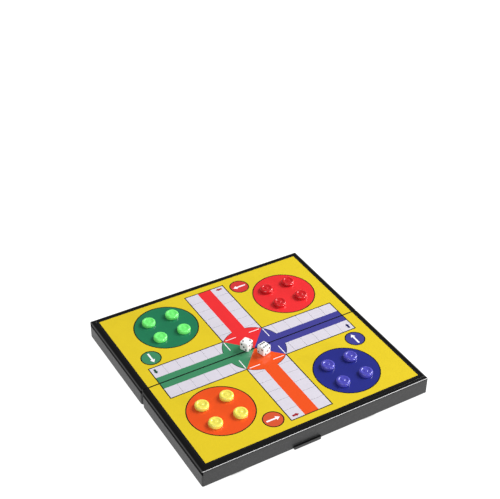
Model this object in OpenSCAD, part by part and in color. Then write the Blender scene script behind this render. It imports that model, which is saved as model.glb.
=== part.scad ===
// Folding ludo board box: two shallow moulded trays hinged along the middle of the board.
// Origin: the centre of the footprint on the table, with the board open and flat.
// +X runs along the hinge, +Y points to the rear half, +Z points up from the table.
// Both trays are one moulding: the front tray is the rear one turned half a turn about Z.

/* [Board box] */
// Length of the board along the hinge
board_length = 200; // [190:1:240]
// Depth of one half, from the hinge line to its outer wall
half_depth = 96.5; // [92:0.5:115]
// Height of a tray from its open rim to the top of its edge
tray_height = 16; // [14:0.5:22]
// Thickness of the side walls
wall = 2; // [1.6:0.1:2.6]
// Thickness of the panel that carries the playing surface
panel = 2; // [1.4:0.1:3]
// Radius of the rounded upper edge along the outer walls
edge_radius = 2.8; // [2:0.1:3.2]
// Radius of a tray's two upright corners far from the hinge
corner_radius = 1.2; // [0.8:0.1:2]
// Radius of a tray's two upright corners at the hinge
hinge_corner_radius = 2.6; // [1:0.1:2.8]
// Gap between the two halves along the hinge line
seam_gap = 0.6; // [0.4:0.1:1]

/* [Playing surface] */
// Width of the black rim from the outer wall to the recess of the printed sheet
rim_width = 3.6; // [3.3:0.1:6]
// Radius of the outer corners of the recess
recess_radius = 2; // [1:0.1:3]
// Thickness of the printed sheet
sheet_thickness = 0.3; // [0.2:0.1:0.5]
// Thickness of the steel plate that the magnets hold to
plate_thickness = 0.5; // [0.3:0.1:0.8]
// How far the printed sheet lies below the top of the rim
surface_drop = 0.2; // [0:0.1:0.6]
// Gap between the recess and the sheet and plate in it
sheet_margin = 0.3; // [0.2:0.1:0.6]

/* [Hinge] */
// Radius of the hinge knuckles
knuckle_radius = 1.9; // [1.7:0.1:2.4]
// Length of one knuckle with its gap
knuckle_pitch = 10; // [8:0.5:12]
// Number of knuckles in each of the two hinge groups, both halves together
knuckle_count = 4; // [2:2:6]
// Gap between neighbouring knuckles
knuckle_gap = 0.4; // [0.3:0.1:0.8]
// Distance from the end of the board to the outermost knuckle
hinge_inset = 10; // [6:0.5:16]
// Radius of the steel hinge pins
pin_radius = 0.75; // [0.6:0.05:0.9]
// Radial clearance of a hinge pin in its bore
pin_clearance = 0.05; // [0.03:0.01:0.1]
// Thickness of the closed end of the outermost knuckle
knuckle_cap = 1; // [0.8:0.1:2]
// Clearance round the knuckles of the other half
pocket_clearance = 0.3; // [0.2:0.1:0.5]
// Material behind the knuckle pockets, added to the inside of the hinge wall
hinge_land = 1.5; // [1.2:0.1:2.5]

/* [Rim and feet] */
// Gap between the two rims when the box is shut
closed_gap = 0.3; // [0.2:0.1:0.6]
// Height of the knuckles above the table when the board is open
knuckle_rise = 0.15; // [0.1:0.05:0.5]
// Length of a foot along its wall
foot_length = 12; // [8:0.5:20]
// Thickness of a foot
foot_thickness = 1.3; // [1:0.1:2]
// Height of the rib that joins a foot to the inside of its wall
foot_rib_height = 6; // [4:0.5:9]
// Gap between a foot and the inside of the other half's wall when shut
foot_clearance = 0.3; // [0.2:0.1:0.6]
// Place along the outer wall of its foot far from the finger tab
far_foot_place = 70; // [62:1:80]
// Place along the outer wall of its foot near the finger tab
near_foot_place = 46; // [34:1:50]
// Distance from the hinge line to the right side wall's foot
right_foot_place = 22; // [14:1:30]
// Distance from the hinge line to the left side wall's foot
left_foot_place = 46; // [44:1:70]
// Radius of the catch beads on the outer wall's feet
bead_radius = 0.4; // [0.4:0.05:0.5]
// How far a catch bead stands out of its foot, a little more than the foot's clearance
bead_stand = 0.4; // [0.35:0.05:0.4]
// Length of a catch bead
bead_length = 8; // [5:0.5:10]
// Clearance round a catch bead in its groove
bead_clearance = 0.15; // [0.1:0.05:0.3]

/* [Finger tab] */
// Length of the finger tab, which ends at the middle of the outer wall
tab_length = 23.5; // [16:0.5:30]
// Height of the finger tab
tab_height = 2.7; // [2:0.1:4]
// How far the finger tab stands out of the wall
tab_depth = 1.8; // [1.2:0.1:3]
// Radius of the finger tab's corners
tab_radius = 0.6; // [0.3:0.1:1]

/* [Playing pieces] */
// Diameter of a playing piece
disc_diameter = 11.2; // [9:0.1:14]
// Height of a playing piece
disc_height = 3; // [2.6:0.1:6]
// Radius of a playing piece's upper edge
disc_edge = 1.3; // [0.8:0.1:1.6]
// Depth of the dished top of a playing piece
disc_dish = 0.35; // [0.2:0.05:0.6]
// Width of the flat ring between the dish and the rounded edge
disc_land = 0.9; // [0.5:0.1:1.4]
// Radius of the button in the middle of the dish
button_radius = 1.5; // [1:0.1:1.8]
// Diameter of the magnet in a playing piece
magnet_diameter = 7; // [5:0.5:8]
// Thickness of the magnet
magnet_thickness = 1.5; // [1:0.1:2]
// Clearance of the magnet in its pocket, and of its face above the foot of the piece
magnet_clearance = 0.05; // [0.03:0.01:0.15]
// Gap between a loose piece and the printed sheet
rest_gap = 0.1; // [0.05:0.05:0.3]
// Distance from the end of the board to the middle of the home circle nearer to it
yard_end_inset = 41.8; // [38:0.1:46]
// Distance from the outer wall to the middle of the home circle nearer to it
yard_wall_inset = 38.3; // [34:0.1:42]
// How much further in the other home circle along each wall and end lies
yard_step = 9; // [4:0.1:12]
// Spacing of the four pieces in a home circle
disc_spacing = 21.3; // [16:0.1:24]

/* [Dice] */
// Size of a die
die_size = 8; // [7:0.5:10]
// Radius of the rounded edges and corners of a die
die_edge = 1.1; // [0.6:0.1:1.4]
// Radius of a pip
pip_radius = 0.8; // [0.5:0.05:0.8]
// Depth of a pip
pip_depth = 0.25; // [0.15:0.05:0.3]
// Distance from a pip to the middle of its face
pip_offset = 2; // [1.6:0.1:2.2]
// Place of the left die along the hinge
left_die_x = -5.8; // [-20:0.1:-3]
// Place of the left die across the hinge line
left_die_y = 2.8; // [0:0.1:20]
// Turn of the left die on the board
left_die_turn = 26.5; // [0:0.5:90]
// Place of the right die along the hinge
right_die_x = 3.6; // [1:0.1:20]
// Place of the right die across the hinge line
right_die_y = -8.4; // [-20:0.1:-6]
// Turn of the right die on the board
right_die_turn = 13.5; // [0:0.5:90]

/* [Hidden] */
$fn = 48;
TEAMS = ["green", "red", "blue", "yellow"];
PLACES = [1, 2, 3, 4];

half_length = board_length / 2;
seam_y = seam_gap / 2;
// Heights above the table
axis_z = knuckle_radius + knuckle_rise;
rim_z = axis_z + closed_gap / 2;
top_z = rim_z + tray_height;
surface_z = top_z - surface_drop;
sheet_z = surface_z - sheet_thickness;
plate_z = sheet_z - plate_thickness;
panel_z = plate_z - panel;
piece_z = surface_z + rest_gap;
// Hinge
hinge_outer = half_length - hinge_inset;
hinge_inner = hinge_outer - knuckle_count * knuckle_pitch;
pin_end_gap = 0.2;
// How far a cutting shape runs past the face that it opens
cut = 1;
// Catch: a bead half way down its foot, and the groove that meets it when the box is shut
bead_y = half_depth - wall - foot_clearance + bead_stand - bead_radius;
bead_z = (rim_z - closed_gap) / 2;
groove_z = 2 * axis_z - bead_z;
dish_radius = disc_diameter / 2 - disc_edge - disc_land;
// Home circles
yard_x = half_length - yard_end_inset;
yard_y = half_depth - yard_wall_inset;

// Shells

// Plan of one tray with its four rounded corners
module tray_plan() {
    far_x = half_length - corner_radius;
    near_x = half_length - hinge_corner_radius;
    far_y = half_depth - corner_radius;
    near_y = seam_y + hinge_corner_radius;
    translate([-near_x, seam_y]) square([2 * near_x, half_depth - seam_y]);
    translate([-far_x, near_y]) square([2 * far_x, half_depth - near_y]);
    translate([-half_length, near_y]) square([2 * half_length, far_y - near_y]);
    for (side = [-1, 1]) {
        translate([side * far_x, far_y]) circle(corner_radius);
        translate([side * near_x, near_y]) circle(hinge_corner_radius);
    }
}

// Bar across the whole open board with its two upper edges rounded
module rounded_bar(width, length) {
    inner = width / 2 - edge_radius;
    rotate([90, 0, 0]) linear_extrude(length, center = true) {
        translate([-width / 2, -cut]) square([width, tray_height - edge_radius + cut]);
        translate([-inner, -cut]) square([2 * inner, tray_height + cut]);
        for (x = [-inner, inner])
            translate([x, tray_height - edge_radius]) circle(edge_radius);
    }
}

// Solid body of one tray: its plan, with the bars' rounded edges where they lie over it
module tray_body() {
    translate([0, 0, rim_z]) intersection() {
        linear_extrude(tray_height) tray_plan();
        rounded_bar(board_length, 2 * half_depth + 2 * cut);
        rotate([0, 0, 90]) rounded_bar(2 * half_depth, board_length + 2 * cut);
    }
}

// Plan of the recess in the rim, less a margin, from near the seam to the outer rim
module sheet_plan(margin, near) {
    x = half_length - rim_width - margin;
    y = half_depth - rim_width - margin;
    r = recess_radius - margin / 2;
    translate([-x, near]) square([2 * x, y - r - near]);
    translate([-x + r, near]) square([2 * (x - r), y - near]);
    for (side = [-1, 1])
        translate([side * (x - r), y - r]) circle(r);
}

// One length of the hinge line, counted from the outer end of a group: side is -1 left, 1 right
module hinge_length(side, first, last, r, gap) {
    x0 = side * (hinge_outer - first * knuckle_pitch) - side * gap;
    x1 = side * (hinge_outer - last * knuckle_pitch) + side * gap;
    translate([min(x0, x1), 0, axis_z]) rotate([0, 90, 0])
        cylinder(h = abs(x1 - x0), r = r);
}

// The places that the rear tray's own knuckles take in each group
function own_place(side, place) = (place % 2 == 0) == (side < 0);

module knuckles() {
    for (side = [-1, 1], place = [0 : knuckle_count - 1])
        if (own_place(side, place))
            hinge_length(side, place, place + 1, knuckle_radius, knuckle_gap / 2);
}

module knuckle_pockets() {
    for (side = [-1, 1], place = [0 : knuckle_count - 1])
        if (!own_place(side, place))
            hinge_length(side, place, place + 1, knuckle_radius + pocket_clearance, 0);
}

module pin_bores() {
    for (side = [-1, 1])
        hinge_length(side, knuckle_cap / knuckle_pitch, knuckle_count + cut / knuckle_pitch,
                     pin_radius + pin_clearance, 0);
}

module hinge_lands() {
    land_height = knuckle_radius + pocket_clearance + hinge_land;
    for (side = [-1, 1])
        translate([side > 0 ? hinge_inner - hinge_land : -hinge_outer - hinge_land,
                   seam_y + wall / 2, rim_z])
            cube([hinge_outer - hinge_inner + 2 * hinge_land, wall / 2 + hinge_land, land_height]);
}

// A foot below the rim and the rib that carries it, against a wall whose inner face is at y = 0
module foot() {
    stand = foot_thickness + foot_clearance;
    translate([-foot_length / 2, -stand, 0])
        cube([foot_length, foot_thickness, rim_z + cut]);
    translate([-foot_length / 2, -stand, rim_z])
        cube([foot_length, stand + wall / 2, foot_rib_height]);
}

module feet() {
    for (x = [far_foot_place, -near_foot_place])
        translate([x, half_depth - wall, 0]) foot();
    translate([half_length - wall, right_foot_place, 0]) rotate([0, 0, -90]) foot();
    translate([wall - half_length, left_foot_place, 0]) rotate([0, 0, 90]) foot();
}

// Catch beads on the feet of the outer wall, which snap into the other tray's grooves
module bead_row(places, z, r, length) {
    for (x = places)
        translate([x - length / 2, bead_y, z]) rotate([0, 90, 0]) cylinder(h = length, r = r);
}

module catch_beads() {
    bead_row([far_foot_place, -near_foot_place], bead_z, bead_radius, bead_length);
}

module catch_grooves() {
    bead_row([-far_foot_place, near_foot_place], groove_z,
             bead_radius + bead_clearance, bead_length + 2 * bead_clearance);
}

// Finger tab on the outer wall, right of the middle on the rear tray
module finger_tab() {
    translate([0, half_depth - wall / 2, rim_z]) {
        cube([tab_length, wall / 2 + tab_depth - tab_radius, tab_height]);
        translate([tab_radius, 0, 0])
            cube([tab_length - 2 * tab_radius, wall / 2 + tab_depth, tab_height]);
        for (x = [tab_radius, tab_length - tab_radius])
            translate([x, wall / 2 + tab_depth - tab_radius, 0])
                cylinder(h = tab_height, r = tab_radius);
    }
}

// Hollow under the panel, open downwards
module storage_hollow() {
    translate([wall - half_length, seam_y + wall, rim_z - cut])
        cube([board_length - 2 * wall, half_depth - seam_y - 2 * wall, panel_z - rim_z + cut]);
}

module tray() {
    difference() {
        union() {
            difference() {
                tray_body();
                storage_hollow();
                translate([0, 0, plate_z]) linear_extrude(tray_height) sheet_plan(0, seam_y - cut);
            }
            hinge_lands();
            knuckles();
            feet();
            catch_beads();
            finger_tab();
        }
        knuckle_pockets();
        pin_bores();
        catch_grooves();
    }
}

module rear_shell() {
    color([0.13, 0.13, 0.14]) tray();
}

module front_shell() {
    color([0.13, 0.13, 0.14]) rotate([0, 0, 180]) tray();
}

// Plates and printed sheets

module steel_plate() {
    color([0.62, 0.63, 0.65]) translate([0, 0, plate_z])
        linear_extrude(plate_thickness) sheet_plan(sheet_margin, seam_y + sheet_margin);
}

module print_sheet() {
    color([0.93, 0.82, 0.2]) translate([0, 0, sheet_z])
        linear_extrude(sheet_thickness) sheet_plan(sheet_margin, seam_y + sheet_margin);
}

// Hinge pins

module hinge_pin(side) {
    color([0.75, 0.76, 0.78])
        hinge_length(side, (knuckle_cap + pin_end_gap) / knuckle_pitch,
                     knuckle_count - pin_end_gap / knuckle_pitch, pin_radius, 0);
}

// Playing pieces

function team_color(team) =
    team == "green" ? [0.43, 0.93, 0.45] :
    team == "red" ? [0.88, 0.15, 0.2] :
    team == "blue" ? [0.3, 0.27, 0.72] : [0.96, 0.86, 0.35];

// Centre of each colour's home circle
function yard_centre(team) =
    team == "green" ? [yard_step - yard_x, yard_y] :
    team == "red" ? [yard_x, yard_y - yard_step] :
    team == "blue" ? [yard_x - yard_step, -yard_y] : [-yard_x, yard_step - yard_y];

// Places count left to right, the rear pair first
function disc_centre(team, place) =
    yard_centre(team) + disc_spacing / 2 * [place % 2 == 1 ? -1 : 1, place < 3 ? 1 : -1];

// Half section of a playing piece without its magnet pocket
module disc_section() {
    r = disc_diameter / 2;
    square([r, disc_height - disc_edge]);
    square([r - disc_edge, disc_height]);
    translate([r - disc_edge, disc_height - disc_edge]) circle(disc_edge);
}

module disc(team, place) {
    pocket = magnet_thickness + 2 * magnet_clearance;
    color(team_color(team)) translate(concat(disc_centre(team, place), piece_z))
        difference() {
            rotate_extrude() intersection() {
                disc_section();
                square([disc_diameter, disc_diameter]);
            }
            difference() {
                translate([0, 0, disc_height - disc_dish]) cylinder(h = disc_height, r = dish_radius);
                cylinder(h = disc_height, r = button_radius);
            }
            translate([0, 0, -cut])
                cylinder(h = pocket + cut, r = magnet_diameter / 2 + magnet_clearance);
        }
}

module magnet(team, place) {
    color([0.24, 0.24, 0.25])
        translate(concat(disc_centre(team, place), piece_z + magnet_clearance))
            cylinder(h = magnet_thickness, r = magnet_diameter / 2);
}

// Dice

// Pips of one face, which looks along +Z, as places in its own plane
function pip_places(value) = concat(
    value % 2 == 1 ? [[0, 0]] : [],
    value > 2 ? [[1, 1], [-1, -1]] : [],
    value == 2 || value > 3 ? [[1, -1], [-1, 1]] : [],
    value == 6 ? [[0, 1], [0, -1]] : []);

// The ball that cuts one pip reaches pip_depth below the face and pip_radius across it
module face_pips(value) {
    ball = (pip_radius * pip_radius + pip_depth * pip_depth) / (2 * pip_depth);
    for (spot = pip_places(value))
        translate([spot[0] * pip_offset, spot[1] * pip_offset, die_size / 2 - pip_depth + ball])
            sphere(ball);
}

module rounded_cube(size, r) {
    flat = size - 2 * r;
    for (turn = [[0, 0, 0], [90, 0, 0], [0, 90, 0]])
        rotate(turn) {
            cube([flat, flat, size], center = true);
            for (x = [-flat / 2, flat / 2], y = [-flat / 2, flat / 2])
                translate([x, y, 0]) cylinder(h = flat, r = r, center = true);
        }
    for (x = [-flat / 2, flat / 2], y = [-flat / 2, flat / 2], z = [-flat / 2, flat / 2])
        translate([x, y, z]) sphere(r);
}

module die(place, turn, top, front, left) {
    color([0.95, 0.94, 0.93])
        translate(concat(place, piece_z + die_size / 2)) rotate([0, 0, turn])
            difference() {
                rounded_cube(die_size, die_edge);
                face_pips(top);
                rotate([180, 0, 0]) face_pips(7 - top);
                rotate([90, 0, 0]) face_pips(front);
                rotate([-90, 0, 0]) face_pips(7 - front);
                rotate([0, -90, 0]) face_pips(left);
                rotate([0, 90, 0]) face_pips(7 - left);
            }
}

// One line for each piece, and one for each set of like pieces
rear_shell();
front_shell();
steel_plate();  // rear_steel_plate
rotate([0, 0, 180]) steel_plate();  // front_steel_plate
print_sheet();  // rear_print_sheet
rotate([0, 0, 180]) print_sheet();  // front_print_sheet
hinge_pin(-1);  // left_hinge_pin
hinge_pin(1);  // right_hinge_pin
for (team = TEAMS, i = PLACES) disc(team, i);
for (team = TEAMS, i = PLACES) magnet(team, i);
die([left_die_x, left_die_y], left_die_turn, 2, 4, 3);  // left_die
die([right_die_x, right_die_y], right_die_turn, 6, 3, 2);  // right_die
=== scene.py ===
# %% [markdown]
# # A folding ludo board box
#
# The object is a travel game: two shallow black trays, hinged along the middle of the board.
# Opened flat they carry one printed playing surface, with four magnetic pieces for each colour
# and two small dice. In this lesson we dress its measured model for a studio picture. The
# measured solids are the frame: they never move, and each new piece is built to fit them.

# %% Load the measured model
import math

import bmesh
import bpy
from mathutils import Matrix, Vector
from mathutils.geometry import delaunay_2d_cdt


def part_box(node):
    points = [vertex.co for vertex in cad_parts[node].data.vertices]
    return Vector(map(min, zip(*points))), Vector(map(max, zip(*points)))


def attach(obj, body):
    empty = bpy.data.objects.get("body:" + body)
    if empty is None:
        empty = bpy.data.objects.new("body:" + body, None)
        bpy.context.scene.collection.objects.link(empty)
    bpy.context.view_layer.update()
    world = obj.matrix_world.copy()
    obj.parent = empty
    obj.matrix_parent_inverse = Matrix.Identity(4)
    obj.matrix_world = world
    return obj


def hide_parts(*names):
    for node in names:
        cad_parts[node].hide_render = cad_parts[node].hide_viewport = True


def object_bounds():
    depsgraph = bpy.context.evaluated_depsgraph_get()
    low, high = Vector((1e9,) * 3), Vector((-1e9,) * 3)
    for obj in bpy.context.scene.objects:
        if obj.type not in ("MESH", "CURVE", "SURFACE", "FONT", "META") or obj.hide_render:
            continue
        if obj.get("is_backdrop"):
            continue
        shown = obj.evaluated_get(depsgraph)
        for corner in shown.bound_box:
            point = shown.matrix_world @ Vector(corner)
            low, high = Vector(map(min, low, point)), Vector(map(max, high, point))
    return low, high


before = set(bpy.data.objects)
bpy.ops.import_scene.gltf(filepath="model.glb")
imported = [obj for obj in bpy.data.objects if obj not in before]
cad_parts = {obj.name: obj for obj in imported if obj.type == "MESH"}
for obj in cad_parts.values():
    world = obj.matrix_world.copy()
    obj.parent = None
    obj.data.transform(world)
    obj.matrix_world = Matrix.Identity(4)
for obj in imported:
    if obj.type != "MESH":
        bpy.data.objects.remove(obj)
cad_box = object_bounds()
MM = 0.001
size = [round((high - low) / MM, 1) for low, high in zip(*cad_box)]
print("pieces in the measured model:", len(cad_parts))
print("length, depth and height in mm:", size)

# %% [markdown]
# ## The camera
#
# The picture was taken from above the front left corner with a longish lens, so the far edges
# of the board draw together only a little. We give the camera a place, a compass heading, a
# downward tilt and a slight roll. Composing three plain turns is easier to read and to correct
# than an aim at some target.

# %% Set the camera
CAMERA_PLACE = (-0.3613, -0.5901, 0.6070)
CAMERA_HEADING = 31.08
CAMERA_TILT = 35.44
CAMERA_ROLL = 0.93
LENS = 81.6

camera_data = bpy.data.cameras.new("camera")
camera_data.lens = LENS
camera_data.sensor_width = 36.0
camera = bpy.data.objects.new("camera", camera_data)
camera.location = CAMERA_PLACE
camera.rotation_mode = "QUATERNION"
camera.rotation_quaternion = (
    Matrix.Rotation(math.radians(-CAMERA_HEADING), 3, "Z")
    @ Matrix.Rotation(math.radians(90 - CAMERA_TILT), 3, "X")
    @ Matrix.Rotation(math.radians(CAMERA_ROLL), 3, "Z")
).to_quaternion()
bpy.context.collection.objects.link(camera)
bpy.context.scene.camera = camera
print("camera height above the table in mm:", round(CAMERA_PLACE[2] / MM))

# %% [markdown]
# ## The studio
#
# The board lies on a white table that also glows from below, which product photographers use to keep
# shadows faint. An occlusion node dims that glow near the box: a painted contact shadow, which leaves a
# thin dark line where the box meets the table.
#
# The black trays owe their whole look to what they mirror: their walls see the white table and
# turn grey, while their polished upper edges see the dark ceiling and stay black. So the
# surroundings are white near the horizon and dark overhead, and the soft lamps stand where the
# flat print doesn't mirror them into the camera. Only the low front lamp is mirrored: it draws
# the bright line along the front edge.

# %% Lay the floor
FLOOR_SIZE = 12.0
FLOOR_GLOW = 1.0
# How far the painted contact shadow reaches from the box, in metres, and how sharply it fades
CONTACT_SHADE_REACH = 0.002
CONTACT_SHADE_FALL = 1.5


def plane_object(name, size):
    """A flat square on the ground that faces up."""
    shape = bmesh.new()
    bmesh.ops.create_grid(shape, x_segments=1, y_segments=1, size=size / 2)
    mesh = bpy.data.meshes.new(name)
    shape.to_mesh(mesh)
    shape.free()
    made = bpy.data.objects.new(name, mesh)
    bpy.context.collection.objects.link(made)
    return made


floor = plane_object("floor", FLOOR_SIZE)
floor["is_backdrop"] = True
floor_material = bpy.data.materials.new("glowing_table")
floor_material.use_nodes = True
floor_tree = floor_material.node_tree
floor_shader = floor_tree.nodes["Principled BSDF"]
floor_shader.inputs["Base Color"].default_value = (0.2, 0.2, 0.2, 1)
floor_shader.inputs["Emission Color"].default_value = (1, 1, 1, 1)
floor_shader.inputs["Roughness"].default_value = 0.9
floor_shader.inputs["Specular IOR Level"].default_value = 0.1
# Painted contact shadow: occlusion dims the floor's glow close to the box
painted_contact_shade = floor_tree.nodes.new("ShaderNodeAmbientOcclusion")
painted_contact_shade.inputs["Distance"].default_value = CONTACT_SHADE_REACH
fall = floor_tree.nodes.new("ShaderNodeMath")
fall.operation = "POWER"
fall.inputs[1].default_value = CONTACT_SHADE_FALL
glow = floor_tree.nodes.new("ShaderNodeMath")
glow.operation = "MULTIPLY"
glow.inputs[1].default_value = FLOOR_GLOW
floor_tree.links.new(painted_contact_shade.outputs["AO"], fall.inputs[0])
floor_tree.links.new(fall.outputs[0], glow.inputs[0])
floor_tree.links.new(glow.outputs[0], floor_shader.inputs["Emission Strength"])
floor.data.materials.append(floor_material)
print("floor is", FLOOR_SIZE, "m square")

# %% Surround the stage
HORIZON_LIGHT = 0.7
CEILING_LIGHT = 0.14
# Heights on the sky, from 0 at the horizon to 1 overhead, where white ends and dark begins
WHITE_END = 0.14
DARK_START = 0.34


def build_world():
    """White near the horizon, dark towards the ceiling."""
    world = bpy.data.worlds.new("studio")
    world.use_nodes = True
    tree = world.node_tree
    place = tree.nodes.new("ShaderNodeTexCoord")
    split = tree.nodes.new("ShaderNodeSeparateXYZ")
    ramp = tree.nodes.new("ShaderNodeValToRGB")
    ramp.color_ramp.elements[0].position = WHITE_END
    ramp.color_ramp.elements[0].color = (HORIZON_LIGHT, HORIZON_LIGHT, HORIZON_LIGHT, 1)
    ramp.color_ramp.elements[1].position = DARK_START
    ramp.color_ramp.elements[1].color = (CEILING_LIGHT, CEILING_LIGHT, CEILING_LIGHT, 1)
    background = tree.nodes["Background"]
    tree.links.new(place.outputs["Generated"], split.inputs[0])
    tree.links.new(split.outputs["Z"], ramp.inputs["Fac"])
    tree.links.new(ramp.outputs["Color"], background.inputs["Color"])
    return world


bpy.context.scene.world = build_world()
bpy.context.scene.view_settings.view_transform = "Standard"
print("surroundings run from", HORIZON_LIGHT, "at the horizon to", CEILING_LIGHT, "overhead")

# %% Hang the lamps
# Each lamp is a name, its place in metres, its two sides in metres and its power in watts.
LAMPS = [
    ("key_lamp", (1.45, 0.10, 1.20), (0.9, 0.9), 43.0),
    ("front_lamp", (0.66, -1.40, 0.17), (0.8, 0.22), 18.0),
    ("overhead_fill", (-0.85, -0.55, 1.55), (1.2, 1.2), 16.0),
]


def hang_lamp(name, place, sides, power):
    lamp = bpy.data.lights.new(name, "AREA")
    lamp.shape = "RECTANGLE"
    lamp.size, lamp.size_y = sides
    lamp.energy = power
    made = bpy.data.objects.new(name, lamp)
    made.location = place
    made.rotation_mode = "QUATERNION"
    made.rotation_quaternion = (-Vector(place)).to_track_quat("-Z", "Y")
    bpy.context.collection.objects.link(made)


for name, place, sides, power in LAMPS:
    hang_lamp(name, place, sides, power)
    print(name, "at", place, "gives", power, "W")

# %% [markdown]
# ## A helper for finishes
#
# No real surface is one even colour. A moulded or printed one varies a little in tone and in
# gloss, and it isn't quite flat. One function adds all three to a Principled shader from noise
# of chosen sizes, in the piece's own coordinates, so a finish keeps its grain when the box is
# folded. Each finish then states only its numbers.

# %% Write the finish helper
def new_shader(name):
    """A new material with its tree and its Principled shader."""
    material = bpy.data.materials.new(name)
    material.use_nodes = True
    tree = material.node_tree
    return material, tree, tree.nodes["Principled BSDF"]


def add_noise(tree, grain, detail=3.0):
    """Noise whose blotches are about as wide as grain, in millimetres."""
    place = tree.nodes.new("ShaderNodeTexCoord")
    blotches = tree.nodes.new("ShaderNodeTexNoise")
    blotches.inputs["Scale"].default_value = 1 / (grain * MM)
    blotches.inputs["Detail"].default_value = detail
    tree.links.new(place.outputs["Object"], blotches.inputs["Vector"])
    return blotches.outputs["Fac"]


def spread(tree, value, low, high):
    """A value from 0 to 1, stretched to run from low to high."""
    span = tree.nodes.new("ShaderNodeMapRange")
    span.inputs["To Min"].default_value = low
    span.inputs["To Max"].default_value = high
    tree.links.new(value, span.inputs["Value"])
    return span.outputs["Result"]


def blend_colours(tree, share, first, second):
    """A mix of two colours, tuples or sockets, all of the second where share is 1."""
    mix = tree.nodes.new("ShaderNodeMix")
    mix.data_type = "RGBA"
    for colour, name in ((first, "A"), (second, "B")):
        if isinstance(colour, tuple):
            mix.inputs[name].default_value = (*colour, 1)
        else:
            tree.links.new(colour, mix.inputs[name])
    tree.links.new(share, mix.inputs["Factor"])
    return mix.outputs["Result"]


def add_bump(tree, shader, height, depth):
    """A surface that rises and falls by depth, in millimetres, as height says."""
    bump = tree.nodes.new("ShaderNodeBump")
    bump.inputs["Distance"].default_value = depth * MM
    tree.links.new(height, bump.inputs["Height"])
    tree.links.new(bump.outputs["Normal"], shader.inputs["Normal"])
    return bump


def plain_finish(name, colour, gloss, tone=0.06, blotch=6.0, grain=0.5, depth=0.01):
    """A moulded or printed finish: gloss is its lowest and highest roughness."""
    material, tree, shader = new_shader(name)
    darker = tuple(c * (1 - tone) for c in colour)
    lighter = tuple(min(1.0, c * (1 + tone)) for c in colour)
    blotches = add_noise(tree, blotch)
    tree.links.new(blend_colours(tree, blotches, darker, lighter), shader.inputs["Base Color"])
    tree.links.new(spread(tree, blotches, *gloss), shader.inputs["Roughness"])
    add_bump(tree, shader, add_noise(tree, grain), depth)
    return material


def dress(piece, material):
    """Gives a measured solid a finish through its object's own slots."""
    if not piece.material_slots:
        piece.data.materials.append(None)
    for slot in piece.material_slots:
        slot.link = "OBJECT"
        slot.material = material


print("finish helper ready")

# %% [markdown]
# ## The black trays
#
# Both trays are one moulding in black plastic. The tool was polished where it forms the rounded
# upper edge and the finger tabs, and left satin on the side walls, which hides fingerprints.
# The zones run level round the tray, so height tells them apart, and distance from the hinge
# finds the tabs. We read both in the piece's own coordinates, and the zones stay in place when
# a tray is turned over. On the two end walls the photograph shows a dark line just below the
# rounded edge. We imitate it by lowering the refractive index there, which dulls the mirror.
# Real plastic keeps one index: this is a trick for the look.

# %% Finish the trays
# The walls' base colour is lighter than the rim's: partly their satin grain, partly painted sheen for
# the bright table they mirror
RIM_BLACK = (0.0035, 0.0035, 0.0038)
WALL_BLACK_AND_SHEEN = (0.016, 0.016, 0.0165)
POLISHED = 0.13
SATIN = 0.42
# Heights in millimetres where the satin ends and where the dark line of the end walls ends
SATIN_TOP = 13.0
DARK_LINE_TOP = 16.2
# Distances in millimetres from the middle of the board beyond which only the end walls reach
# along it, and only the finger tabs across it
END_WALL_START = 99.2
TAB_START = 96.7
# Refractive index of the plastic, and the lower one of the trick
PLASTIC_INDEX = 1.5
DARK_LINE_INDEX = 1.03


def past(tree, axis, middle, width):
    """Runs from 0 to 1 where the piece's own coordinate on one axis passes middle, either way."""
    place = tree.nodes.new("ShaderNodeTexCoord")
    split = tree.nodes.new("ShaderNodeSeparateXYZ")
    tree.links.new(place.outputs["Object"], split.inputs[0])
    distance = combine(tree, "ABSOLUTE", split.outputs[axis])
    mask = tree.nodes.new("ShaderNodeMapRange")
    mask.inputs["From Min"].default_value = (middle - width / 2) * MM
    mask.inputs["From Max"].default_value = (middle + width / 2) * MM
    tree.links.new(distance, mask.inputs["Value"])
    return mask.outputs["Result"]


def combine(tree, operation, *values):
    """One sum on shader values."""
    sum_node = tree.nodes.new("ShaderNodeMath")
    sum_node.operation = operation
    for value, socket in zip(values, sum_node.inputs):
        tree.links.new(value, socket)
    return sum_node.outputs[0]


def mix_values(tree, share, first, second):
    mix = tree.nodes.new("ShaderNodeMix")
    for source, name in ((share, "Factor"), (first, "A"), (second, "B")):
        tree.links.new(source, mix.inputs[name])
    return mix.outputs["Result"]


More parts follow.
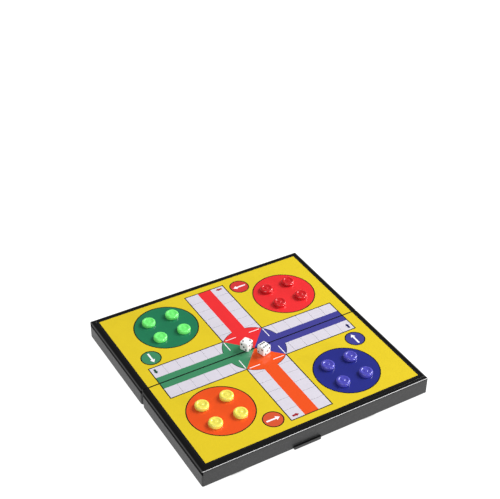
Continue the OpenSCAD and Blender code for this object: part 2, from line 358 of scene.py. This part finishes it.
def tray_finish():
    material, tree, shader = new_shader("black_moulding")
    tab = past(tree, "Y", TAB_START, 0.2)
    polish = combine(tree, "MAXIMUM", past(tree, "Z", SATIN_TOP, 0.8), tab)
    speckle = spread(tree, add_noise(tree, 0.8), -0.4, 1.4)
    darker, lighter = (tuple(c * k for c in WALL_BLACK_AND_SHEEN) for k in (0.5, 1.5))
    wall = blend_colours(tree, speckle, darker, lighter)
    # Painted sheen: the satin walls take the lighter colour, the polished rim and tabs the darker one
    tree.links.new(blend_colours(tree, polish, wall, RIM_BLACK), shader.inputs["Base Color"])
    satin = spread(tree, add_noise(tree, 4.0), SATIN - 0.05, SATIN + 0.05)
    gloss = spread(tree, add_noise(tree, 8.0), POLISHED - 0.02, POLISHED + 0.02)
    tree.links.new(mix_values(tree, polish, satin, gloss), shader.inputs["Roughness"])
    tree.links.new(spread(tree, polish, 0.38, 0.5), shader.inputs["Specular IOR Level"])
    below = spread(tree, past(tree, "Z", DARK_LINE_TOP, 0.8), 1, 0)
    ends = combine(tree, "MULTIPLY", past(tree, "X", END_WALL_START, 0.2), below)
    dark_line = combine(tree, "MULTIPLY", ends, polish)
    tree.links.new(spread(tree, dark_line, PLASTIC_INDEX, DARK_LINE_INDEX), shader.inputs["IOR"])
    bump = add_bump(tree, shader, add_noise(tree, 0.7), 0.04)
    tree.links.new(spread(tree, polish, 0.6, 0.03), bump.inputs["Strength"])
    return material


black_moulding = tray_finish()
for node in ("rear_shell", "front_shell"):
    dress(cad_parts[node], black_moulding)
print("trays finished:", black_moulding.name)

# %% [markdown]
# ## Steel plates, hinge pins and magnets
#
# A thin steel plate lies under each printed sheet, so that the magnets hold anywhere on the
# board. The hinge turns on two drawn steel wires. Rolled and drawn steel carries fine lines
# along one direction, which we get by squeezing the noise across them.

# %% Finish the metal parts
# Noise scale along each axis: coarse along the lines, fine across them
STEEL_LINES = (40, 2500, 2500)


def steel_finish(name, colour, roughness):
    """Steel with fine lines along X."""
    material, tree, shader = new_shader(name)
    place = tree.nodes.new("ShaderNodeTexCoord")
    squeeze = tree.nodes.new("ShaderNodeMapping")
    squeeze.inputs["Scale"].default_value = STEEL_LINES
    lines = tree.nodes.new("ShaderNodeTexNoise")
    lines.inputs["Scale"].default_value = 1.0
    tree.links.new(place.outputs["Object"], squeeze.inputs["Vector"])
    tree.links.new(squeeze.outputs["Vector"], lines.inputs["Vector"])
    darker = tuple(c * 0.85 for c in colour)
    mottle = blend_colours(tree, lines.outputs["Fac"], darker, colour)
    gloss = spread(tree, lines.outputs["Fac"], roughness - 0.08, roughness + 0.08)
    tree.links.new(mottle, shader.inputs["Base Color"])
    tree.links.new(gloss, shader.inputs["Roughness"])
    shader.inputs["Metallic"].default_value = 1.0
    add_bump(tree, shader, lines.outputs["Fac"], 0.004)
    return material


rolled_steel = steel_finish("rolled_steel", (0.55, 0.56, 0.58), 0.38)
drawn_wire = steel_finish("drawn_wire", (0.62, 0.63, 0.65), 0.25)
sintered_magnet = plain_finish("sintered_magnet", (0.06, 0.06, 0.065), (0.45, 0.6),
                               tone=0.2, blotch=1.0)
for node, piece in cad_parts.items():
    if node.endswith("_steel_plate"):
        dress(piece, rolled_steel)
    if node.endswith("_hinge_pin"):
        dress(piece, drawn_wire)
    if "_magnet_" in node:
        dress(piece, sintered_magnet)
print("metal finishes:", rolled_steel.name, drawn_wire.name, sintered_magnet.name)

# %% [markdown]
# ## The printed board
#
# The playing surface is a printed and varnished sheet, cut in two at the hinge. A painted
# texture would blur when the camera comes close. Instead we treat the print as a printer does:
# a stack of flat shapes, each in one ink, where the topmost shape wins. We list the shapes in
# millimetres, cut the sheet along every outline at once with a constrained triangulation, and
# sort the triangles by the ink that lies on top there. Every edge stays as sharp as the
# outline that made it.

# %% Shapes that the print repeats
def rect(x0, y0, x1, y1):
    return [(x0, y0), (x1, y0), (x1, y1), (x0, y1)]


def arc(x, y, r, first, last, steps):
    """Points on a circle from one angle to another, in degrees, both ends included."""
    angles = [math.radians(first + (last - first) * i / steps) for i in range(steps + 1)]
    return [(x + r * math.cos(a), y + r * math.sin(a)) for a in angles]


def circle(x, y, r, steps=120):
    return arc(x, y, r, 0, 360, steps)[:-1]


def arrow(x, y, length, width, shaft, heading):
    """A plain arrow centred on a place; heading is in degrees from +X."""
    head = width * 0.75
    back, neck, tip = -length / 2, length / 2 - head, length / 2
    side = [(back, shaft / 2), (neck, shaft / 2), (neck, width / 2), (tip, 0)]
    points = side + [(px, -py) for px, py in reversed(side[:-1])]
    c, s = math.cos(math.radians(heading)), math.sin(math.radians(heading))
    return [(x + px * c - py * s, y + px * s + py * c) for px, py in points]


print("an arrow has", len(arrow(0, 0, 10, 4, 1, 0)), "corners")

# %% Sizes of the pattern, in millimetres
FIELD_X, FIELD_Y = 94.1, 90.7
LINE = 0.9
HAIRLINE = 0.14
# Each half of the print is shifted out from the hinge by this much
SEAM_SHIFT = 0.8
LANE = 12.1
STRIP_X = LANE / 2
STRIP_Y = LANE / 2 + SEAM_SHIFT
ARM_X = 1.5 * LANE
ARM_Y = 1.5 * LANE + SEAM_SHIFT
END_X, END_Y = 84.8, 84.5
CELL = 11.55
CELLS = 5
YARD_R, START_R = 26.8, 8.45
# Where the coloured strips start beyond the edge of the centre
STRIP_GAP = 2
# Width of the white rays, and how far they end short of the arm's corner along and across it
RAY = 0.7
RAY_SHORT_Y = 1.2
RAY_SHORT_X = 2.5
# Length, width and shaft of the white arrows on the start discs and of the small dark ones
START_ARROW = (11.5, 4.4, 1.5)
CELL_ARROW = (5.7, 3.6, 1.9)
# Ink, home circle, start disc with its arrow's heading, and the small arrow in the first cell
TEAMS = {
    "green": ("green_ink", (-49.2, 58.2), (-77.0, 30.0), -90, (-81.0, 13.8)),
    "red": ("red_ink", (58.2, 49.2), (30.0, 76.0), 180, (12.7, 81.0)),
    "blue": ("blue_ink", (49.2, -58.2), (76.8, -30.0), 90, (80.8, -13.6)),
    "orange": ("orange_ink", (-58.2, -49.2), (-29.3, -76.5), 0, (-12.2, -80.7)),
}
print("the cross of lanes is", 2 * ARM_X, "mm wide")

# %% Stack the shapes, the ground first
layers = []


def lay(ink, points):
    """Adds one flat shape on top of the stack, with its bounding box for quick tests."""
    xs, ys = zip(*points)
    layers.append((ink, points, (min(xs), min(ys), max(xs), max(ys))))


def lay_lanes():
    """The white cross of lanes with its black outline and the hairlines between cells."""
    for grow, ink in ((LINE / 2, "black_ink"), (-LINE / 2, "white_ink")):
        lay(ink, rect(-END_X - grow, -ARM_Y - grow, END_X + grow, ARM_Y + grow))
        lay(ink, rect(-ARM_X - grow, -END_Y - grow, ARM_X + grow, END_Y + grow))
    half = HAIRLINE / 2
    for k in range(1, CELLS + 1):
        for side in (-1, 1):
            x, y = side * (END_X - k * CELL), side * (END_Y - k * CELL)
            lay("black_ink", rect(x - half, -ARM_Y, x + half, ARM_Y))
            lay("black_ink", rect(-ARM_X, y - half, ARM_X, y + half))


def lay_centre():
    """The round centre: four sectors that meet in the middle, then the coloured lanes over them."""
    corner = math.degrees(math.atan2(ARM_Y - SEAM_SHIFT, ARM_X))
    full = math.hypot(ARM_X, ARM_Y - SEAM_SHIFT)
    for r, inks in ((full, ["black_ink"] * 4),
                    (full - LINE * 0.5, ["red_ink", "green_ink_light", "orange_ink", "blue_ink_light"])):
        up = arc(0, SEAM_SHIFT, r, corner, 180 - corner, 40)
        left = (arc(0, SEAM_SHIFT, r, 180 - corner, 180, 20)
                + arc(0, -SEAM_SHIFT, r, 180, 180 + corner, 20))
        lay(inks[0], [(0, 0)] + up)
        lay(inks[1], [(0, 0)] + left)
        lay(inks[2], [(0, 0)] + [(-x, -y) for x, y in up])
        lay(inks[3], [(0, 0)] + [(-x, -y) for x, y in left])
    inner, end = ARM_X + STRIP_GAP, LINE / 2
    lay("red_ink", rect(-STRIP_X, inner, STRIP_X, END_Y - end))
    lay("orange_ink", rect(-STRIP_X, end - END_Y, STRIP_X, -inner))
    lay("green_ink_light", rect(end - END_X, -STRIP_Y, -inner, STRIP_Y))
    lay("blue_ink_light", rect(inner, -STRIP_Y, END_X - end, STRIP_Y))


def lay_rays():
    """Short white lines where the lanes meet the centre."""
    half = RAY / 2
    for sx in (-1, 1):
        for sy in (-1, 1):
            x, y = sx * ARM_X, sy * ARM_Y
            lay("white_ink_light", rect(x - half, sy * STRIP_Y, x + half, sy * (ARM_Y - RAY_SHORT_Y)))
            lay("white_ink_light", rect(sx * STRIP_X, y - half, sx * (ARM_X - RAY_SHORT_X), y + half))


lay("black_ink", rect(-100, -100, 100, 100))
lay("yellow_print", rect(-FIELD_X, -FIELD_Y, FIELD_X, FIELD_Y))
lay_lanes()
lay_centre()
lay_rays()
for ink, yard, start, heading, mark in TEAMS.values():
    lay("black_ink", circle(*yard, YARD_R))
    lay(ink, circle(*yard, YARD_R - LINE))
    lay("black_ink", circle(*start, START_R, 72))
    lay(ink + "_light", circle(*start, START_R - LINE, 72))
    lay("white_ink_light", arrow(*start, *START_ARROW, heading))
    lay(ink.replace("orange", "red") + "_dark", arrow(*mark, *CELL_ARROW, heading))
print("shapes in the stack:", len(layers))

# %% Ask which ink lies on top
def holds(points, x, y):
    """True where a place is inside an outline, by counting the sides that a ray crosses."""
    inside = False
    for (ax, ay), (bx, by) in zip(points, points[1:] + points[:1]):
        if (ay > y) != (by > y) and x < (bx - ax) * (y - ay) / (by - ay) + ax:
            inside = not inside
    return inside


def ink_at(x, y):
    """The topmost ink at a place."""
    for ink, points, (x0, y0, x1, y1) in reversed(layers):
        if x0 < x < x1 and y0 < y < y1 and holds(points, x, y):
            return ink
    return "black_ink"


print("ink in the middle of the red home circle:", ink_at(58, 49))

# %% Cut one half of the sheet along every outline
def sheet_outline(node, corner=1.85):
    """The outline of a half sheet, in millimetres, with its two outer corners rounded."""
    low, high = (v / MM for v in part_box(node))
    side = 1 if high.y > 0 and low.y > 0 else -1
    near, far = (low.y, high.y) if side > 0 else (high.y, low.y)
    x, y = high.x - corner, far - side * corner
    right = arc(x, y, corner, 0, side * 90, 8)
    left = arc(-x, y, corner, side * 90, side * 180, 8)
    return [(-high.x, near), (high.x, near)] + right + left


def cut_sheet(outline):
    """Triangles of the half sheet, sorted by ink: the corner points and a list for each ink."""
    shapes = [outline] + [points for _, points, _ in layers]
    corners, sides = [], []
    for points in shapes:
        first = len(corners)
        count = len(points)
        corners += [Vector(p) for p in points]
        sides += [(first + i, first + (i + 1) % count) for i in range(count)]
    places, _, triangles, *_ = delaunay_2d_cdt(corners, sides, [], 0, 1e-5)
    by_ink = {}
    for triangle in triangles:
        middle = sum((places[i] for i in triangle), Vector((0, 0))) / 3
        if holds(outline, *middle):
            by_ink.setdefault(ink_at(*middle), []).append(triangle)
    return places, by_ink


print("corners of the rear sheet:", len(sheet_outline("rear_print_sheet")))

# %% [markdown]
# ### Inks and varnish
#
# Under one clear varnish every ink has the same shine, so the inks share one recipe and differ
# in colour alone. Offset print is slightly mottled, and the varnish is a little wavy.

# %% Mix the inks
INKS = {
    "yellow_print": (0.66, 0.50, 0.016),
    "red_ink": (0.72, 0.024, 0.028),
    "red_ink_light": (0.56, 0.034, 0.034),
    "orange_ink": (0.73, 0.074, 0.010),
    "orange_ink_light": (0.58, 0.08, 0.028),
    "blue_ink": (0.016, 0.021, 0.20),
    "blue_ink_light": (0.046, 0.044, 0.25),
    "green_ink": (0.012, 0.165, 0.075),
    "green_ink_light": (0.043, 0.22, 0.105),
    "white_ink": (0.60, 0.57, 0.64),
    "white_ink_light": (0.84, 0.81, 0.86),
    "red_ink_dark": (0.30, 0.012, 0.02),
    "green_ink_dark": (0.005, 0.06, 0.03),
    "blue_ink_dark": (0.007, 0.009, 0.08),
    "black_ink": (0.006, 0.006, 0.007),
}
inks = {name: plain_finish(name + "_varnished", colour, (0.14, 0.22), tone=0.035, blotch=9.0,
                           grain=2.5, depth=0.004)
        for name, colour in INKS.items()}
dark_card = plain_finish("dark_card", (0.012, 0.012, 0.012), (0.6, 0.75), grain=0.2)
print("inks:", ", ".join(inks))

# %% Build the sheets
INK_FILM = 0.04


def new_piece(name, shape, material, smooth=None):
    """Turns a bmesh into a piece; edges sharper than smooth degrees stay sharp."""
    mesh = bpy.data.meshes.new(name)
    shape.to_mesh(mesh)
    shape.free()
    mesh.materials.append(material)
    if smooth is not None:
        mesh.shade_smooth()
        mesh.set_sharp_from_angle(angle=math.radians(smooth))
    made = bpy.data.objects.new(name, mesh)
    bpy.context.collection.objects.link(made)
    return made


def prism(places, faces, bottom, top):
    """A closed flat body over some faces in the plane; heights are in millimetres."""
    shape = bmesh.new()
    used = sorted({i for face in faces for i in face})
    corner = {i: shape.verts.new((places[i][0] * MM, places[i][1] * MM, top * MM)) for i in used}
    flat = [shape.faces.new([corner[i] for i in face]) for face in faces]
    raised = bmesh.ops.extrude_face_region(shape, geom=flat, use_keep_orig=True)
    lower = [v for v in raised["geom"] if isinstance(v, bmesh.types.BMVert)]
    for vert in lower:
        vert.co.z = bottom * MM
    bmesh.ops.recalc_face_normals(shape, faces=shape.faces)
    return shape


def print_half(half):
    """The card and the ink films of one half, on that half's body."""
    node = half + "_print_sheet"
    low, high = (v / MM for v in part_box(node))
    outline = sheet_outline(node)
    card_top = high.z - INK_FILM
    card = new_piece(half + "_card", prism(outline, [range(len(outline))], low.z, card_top), dark_card)
    places, by_ink = cut_sheet(outline)
    pieces = [card]
    for ink, triangles in sorted(by_ink.items()):
        film = new_piece(half + "_" + ink, prism(places, triangles, card_top, high.z), inks[ink])
        pieces.append(film)
        print(film.name, "has", len(triangles), "triangles")
    for piece in pieces:
        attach(piece, half + "_half")
        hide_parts(node)


for half in ("rear", "front"):
    print_half(half)

# %% [markdown]
# ## The playing pieces
#
# Each piece is a small moulded button with a magnet pressed into its foot. It is round, so one
# half section turned about its axis makes it. The section runs from the magnet's pocket, round
# the foot and the soft upper edge, down into the dished top and over the little button in its
# middle. We turn it in code, ring by ring, rather than with a modifier, so that the poles close
# in single points.

# %% Draw the half section
def soft_step(t):
    """Runs smoothly from 0 to 1."""
    t = min(1.0, max(0.0, t))
    return t * t * (3 - 2 * t)


def piece_section(radius, height):
    """Half section of a playing piece as distances from its axis and heights, in millimetres."""
    pocket_r, pocket_h = 3.55, 1.6
    edge, foot = 1.3, 0.2
    crest, dish = 3.7, 0.3
    section = [(0, pocket_h), (pocket_r, pocket_h), (pocket_r, 0), (radius - foot, 0)]
    section += arc(radius - foot, foot, foot, -90, 0, 4)[1:]
    section += arc(radius - edge, height - edge, edge, 0, 90, 12)
    for i in range(1, 29):
        r = crest * (1 - i / 28)
        groove = soft_step((crest - r) / 0.9) * soft_step((r - 0.9) / 0.8)
        hollow = 0.08 * soft_step((1.7 - r) / 0.8)
        section.append((max(r, 0), height - dish * groove - hollow))
    return section


print("points in the half section:", len(piece_section(5.6, 3.0)))

# %% Turn and finish the pieces
PIECE_COLOURS = {
    "green": (0.15, 0.78, 0.16),
    "red": (0.54, 0.009, 0.013),
    "blue": (0.062, 0.058, 0.40),
    "yellow": (0.76, 0.67, 0.10),
}
RINGS = 72


def turn(section, centre, steps=RINGS):
    """A closed body turned from a half section that starts and ends on its axis."""
    shape = bmesh.new()
    rings = []
    for r, z in section:
        if r < 1e-6:
            rings.append([shape.verts.new(centre + Vector((0, 0, z)) * MM)])
            continue
        angles = [2 * math.pi * i / steps for i in range(steps)]
        rings.append([shape.verts.new(centre + Vector((r * math.cos(a), r * math.sin(a), z)) * MM)
                      for a in angles])
    for first, second in zip(rings, rings[1:]):
        for i in range(steps):
            j = (i + 1) % steps
            corners = [first[i % len(first)], first[j % len(first)],
                       second[j % len(second)], second[i % len(second)]]
            shape.faces.new(list(dict.fromkeys(corners)))
    bmesh.ops.recalc_face_normals(shape, faces=shape.faces)
    return shape


for team, colour in PIECE_COLOURS.items():
    moulded = plain_finish(team + "_moulding", colour, (0.16, 0.26), tone=0.05, blotch=3.0,
                           grain=0.6, depth=0.006)
    for place in range(1, 5):
        node = f"{team}_disc_{place}"
        low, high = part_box(node)
        centre = Vector(((low.x + high.x) / 2, (low.y + high.y) / 2, low.z))
        radius, height = (high.x - low.x) / 2 / MM, (high.z - low.z) / MM
        body = turn(piece_section(radius, height), centre)
        piece = new_piece(f"{team}_button_{place}", body, moulded, 35)
        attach(piece, f"{team}_piece_{place}")
        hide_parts(node)
    print(team, "pieces turned, each", round(2 * radius, 1), "mm across")

# %% [markdown]
# ## The dice
#
# A die is a cube with rounded edges and one shallow ball-shaped dent for each pip, filled with
# black paint. We round the cube with a bevel of several segments. For the dents we subtract
# balls, and let the cut faces keep the balls' black finish, so the paint ends exactly at the
# edge of each dent.

# %% Place the pips
PIP_R, PIP_DEPTH, PIP_STEP = 0.8, 0.25, 2.0
DIE_EDGE = 1.1


def pip_places(value):
    """Pips of one face in its own plane, in steps from its middle."""
    spots = [(0, 0)] if value % 2 else []
    spots += [(1, 1), (-1, -1)] if value > 2 else []
    spots += [(1, -1), (-1, 1)] if value == 2 or value > 3 else []
    spots += [(0, 1), (0, -1)] if value == 6 else []
    return spots


def face_turns(top, front, left):
    """Each face's value with the turn that carries the top face to it."""
    turns = [(top, 0, "X"), (7 - top, 180, "X"), (front, 90, "X"),
             (7 - front, -90, "X"), (left, -90, "Y"), (7 - left, 90, "Y")]
    return [(value, Matrix.Rotation(math.radians(angle), 4, axis)) for value, angle, axis in turns]


print("pips on a die:", sum(len(pip_places(value)) for value in range(1, 7)))

# %% Cut and finish the dice
die_white = plain_finish("die_white_moulding", (0.88, 0.87, 0.86), (0.12, 0.2),
                         tone=0.02, grain=0.8, depth=0.003)
pip_paint = plain_finish("pip_paint", (0.004, 0.004, 0.006), (0.6, 0.7),
                         tone=0.3, blotch=0.6, grain=0.2)
pip_paint.node_tree.nodes["Principled BSDF"].inputs["Specular IOR Level"].default_value = 0.15
# Each die's node, body, turn on the board, and the values on its top, front and left faces
DICE = [
    ("left_die", "left_die_cube", 26.5, (2, 4, 3)),
    ("right_die", "right_die_cube", 13.5, (6, 3, 2)),
]


def rounded_cube(size, edge):
    shape = bmesh.new()
    bmesh.ops.create_cube(shape, size=size)
    bmesh.ops.bevel(shape, geom=shape.edges[:], offset=edge, segments=6, profile=0.5, affect="EDGES")
    return shape


def pip_balls(size, values):
    """The balls that cut the pips, in the die's own coordinates."""
    ball = (PIP_R ** 2 + PIP_DEPTH ** 2) / (2 * PIP_DEPTH)
    height = size / 2 + (ball - PIP_DEPTH) * MM
    shape = bmesh.new()
    for value, turned in face_turns(*values):
        for x, y in pip_places(value):
            place = Matrix.Translation((x * PIP_STEP * MM, y * PIP_STEP * MM, height))
            bmesh.ops.create_uvsphere(shape, u_segments=40, v_segments=28, radius=ball * MM,
                                      matrix=turned @ place)
    return shape


def cut_die(node, body, angle, values):
    low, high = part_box(node)
    size = high.z - low.z
    stand = Matrix.Translation((low + high) / 2) @ Matrix.Rotation(math.radians(angle), 4, "Z")
    die = new_piece(node + "_cube", rounded_cube(size, DIE_EDGE * MM), die_white)
    balls = new_piece(node + "_balls", pip_balls(size, values), pip_paint)
    cut = die.modifiers.new("pips", "BOOLEAN")
    cut.object = balls
    cut.solver = "EXACT"
    cut.material_mode = "TRANSFER"
    dented = bpy.data.meshes.new_from_object(die.evaluated_get(bpy.context.evaluated_depsgraph_get()))
    dented.transform(stand)
    dented.shade_smooth()
    dented.set_sharp_from_angle(angle=math.radians(30))
    die.modifiers.clear()
    die.data = dented
    bpy.data.objects.remove(balls)
    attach(die, body)
    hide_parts(node)
    return die


for row in DICE:
    die = cut_die(*row)
    print(die.name, "has", len(die.data.polygons), "faces and", len(die.data.materials), "finishes")

# %% [markdown]
# ## Check the size
#
# We compare the box of the dressed model with that of the measured one and print their largest
# difference.

# %% Compare the two boxes and finish
new_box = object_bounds()
growth = max((abs(a - b) for old, new in zip(cad_box, new_box) for a, b in zip(old, new)))
print("largest difference between the boxes in mm:", round(growth / MM, 3))
